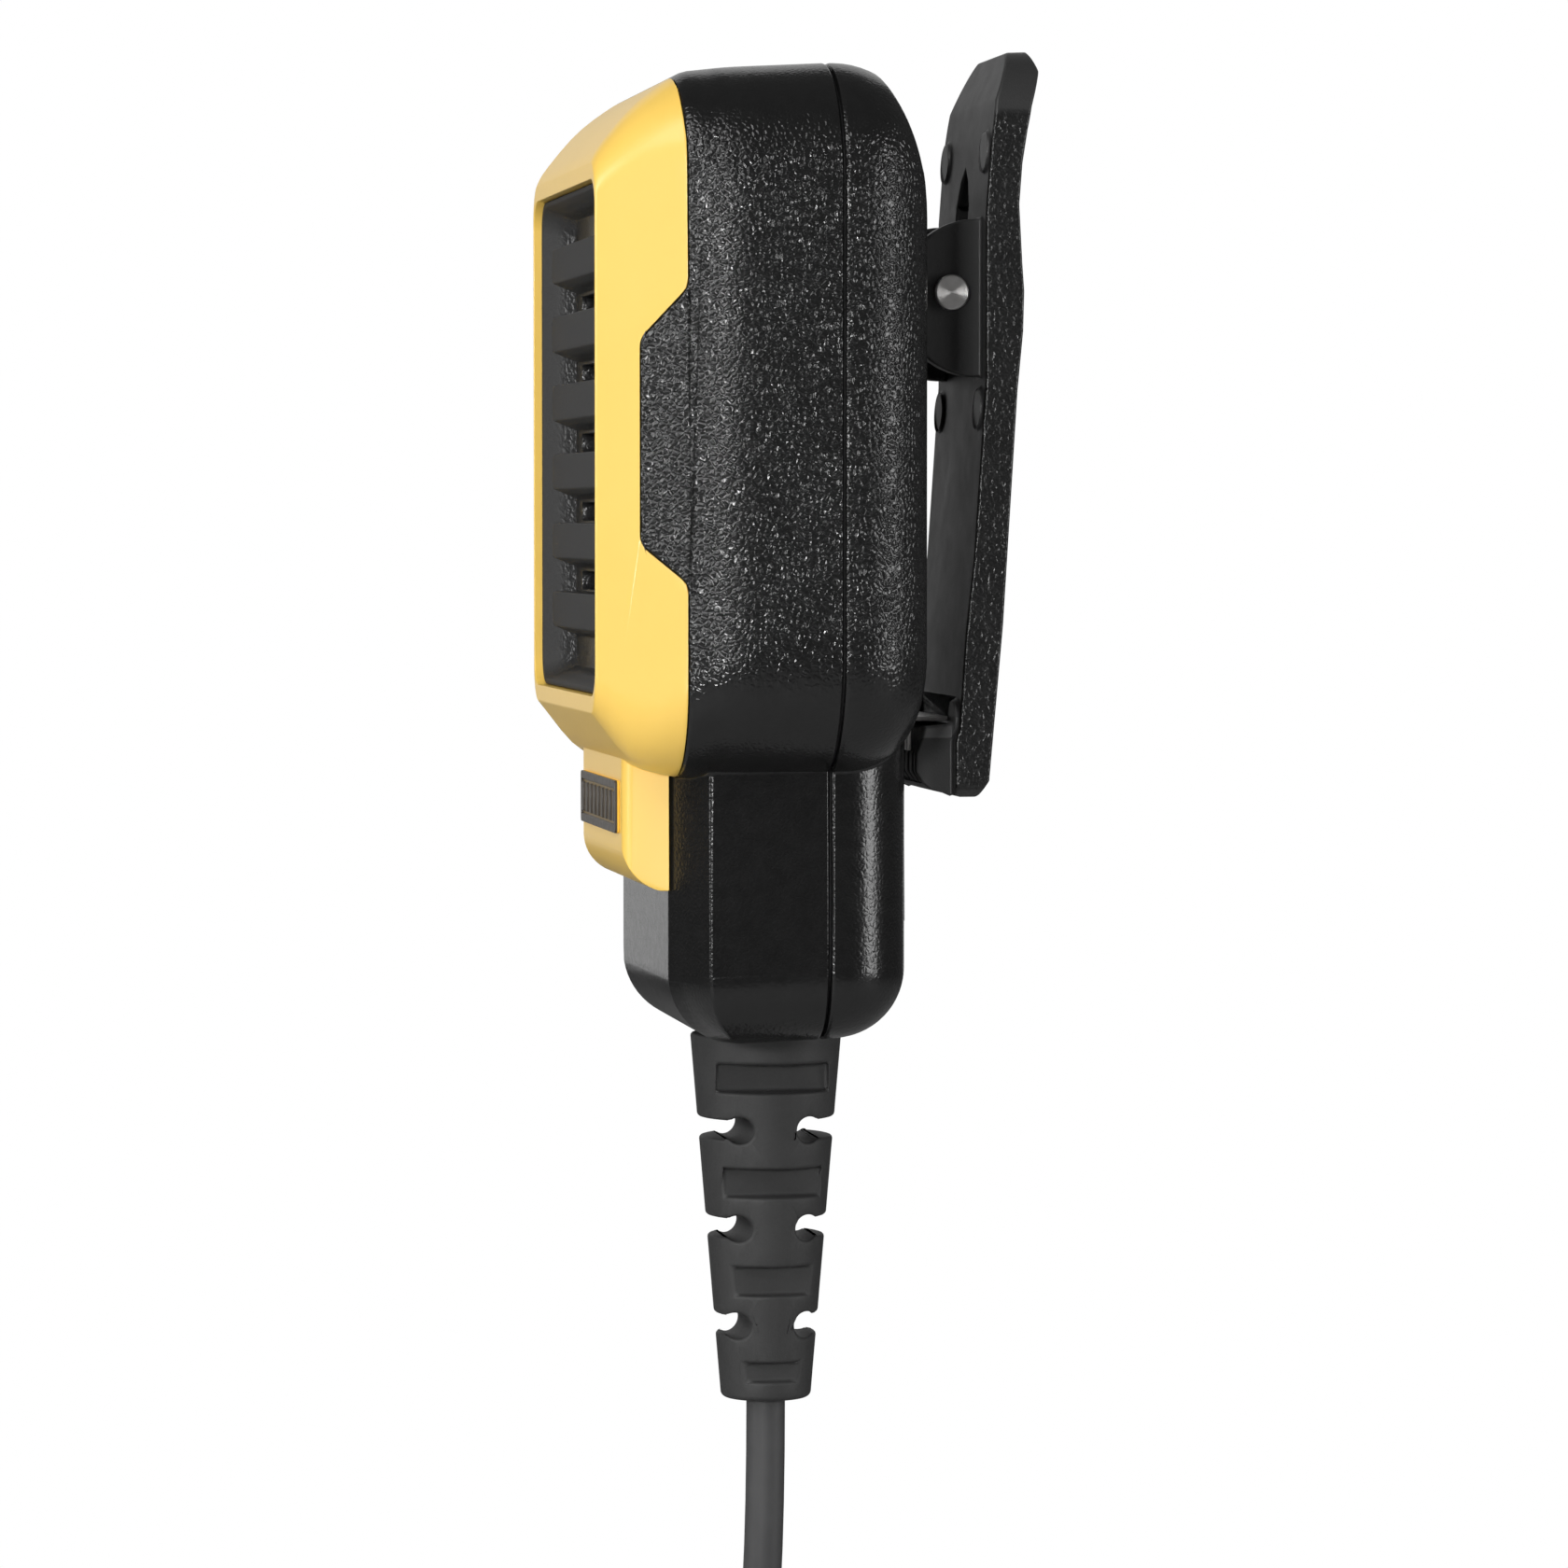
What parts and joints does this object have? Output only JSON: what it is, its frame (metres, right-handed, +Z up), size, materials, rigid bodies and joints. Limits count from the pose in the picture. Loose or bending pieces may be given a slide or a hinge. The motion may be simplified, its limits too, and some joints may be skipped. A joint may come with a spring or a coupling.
{
  "type": "remote speaker microphone",
  "caption": "Hand-held speaker microphone of a two-way radio: clam-shell housing, framed grille, side push-to-talk key, sprung swivel clip, strain relief and lead with a two-pin plug.",
  "frame": {"origin": "middle of the clip jaw, where it grips, on the plane of the housing's flat back", "axes": "+Z up as worn, -Y out of the grille, +X to the right as the grille is seen"},
  "size_m": [0.0616, 0.0456, 0.2739],
  "materials": {
    "black_shell": "coarse moulded grain, semi-gloss",
    "yellow_bezel": "satin moulded ABS",
    "grille_black": "fine moulded grain",
    "badge": "satin dark print on raised plate",
    "seal_rubber": "smooth",
    "clip_nylon": "satin glass-filled nylon",
    "steel": "turned bright",
    "black_steel": "black zinc",
    "boot_rubber": "matte",
    "cable_jacket": "matte PVC",
    "button_rubber": "soft matte",
    "cloth": "fine woven dust mesh",
    "cone_film": "pressed film",
    "magnet": "sintered",
    "board": "solder resist green",
    "copper_wire": "insulated cores",
    "plug_plastic": "moulded plug",
    "pin_metal": "plated",
    "tie_fabric": "hook-and-loop strap"
  },
  "bodies": {
    "housing": {"badge_plate": "badge", "bezel": "yellow_bezel", "cable_boot": "boot_rubber", "cable_clamp": "grille_black", "cable_coil": "cable_jacket", "cable_lower": "cable_jacket", "cable_upper": "cable_jacket", "case_screws": "black_steel", "circuit_board": "board", "coil_tie": "tie_fabric", "front_shell": "black_shell", "grille_cloth": "cloth", "grille_insert": "grille_black", "housing_seal": "seal_rubber", "inner_cable": "cable_jacket", "lead_wires": "copper_wire", "mic_boot": "seal_rubber", "mic_capsule": "steel", "plug_body": "plug_plastic", "plug_pin_large": "pin_metal", "plug_pin_small": "pin_metal", "plug_sleeve": "boot_rubber", "ptt_switch": "grille_black", "rear_shell": "black_shell", "speaker_cone": "cone_film", "speaker_frame": "black_steel", "speaker_gasket": "seal_rubber", "speaker_magnet": "magnet", "speaker_wires": "copper_wire"},
    "ptt_key": {"ptt_button": "button_rubber"},
    "clip_swivel": {"swivel_base": "clip_nylon", "swivel_washer": "steel", "swivel_screw": "steel", "clip_spring": "steel"},
    "clip": {"clip_lever": "clip_nylon", "jaw_plate": "steel", "hinge_pin": "steel"}
  },
  "joints": [
    {"name": "ptt_press", "type": "slide", "parent": "housing", "child": "ptt_key", "axis": [1, 0, 0], "range_m": [0, 0.0012], "stiffness_N_per_m": 900},
    {"name": "clip_turn", "type": "hinge", "parent": "housing", "child": "clip_swivel", "pos_m": [0, 0, 0.0466], "axis": [0, 1, 0], "continuous": true},
    {"name": "clip_open", "type": "hinge", "parent": "clip_swivel", "child": "clip", "pos_m": [0, 0.0046, 0.0466], "axis": [1, 0, 0], "range_deg": [0, 18], "stiffness_Nm_per_rad": 0.6, "springref_deg": -20.05, "deforming": ["clip_spring"]}
  ]
}
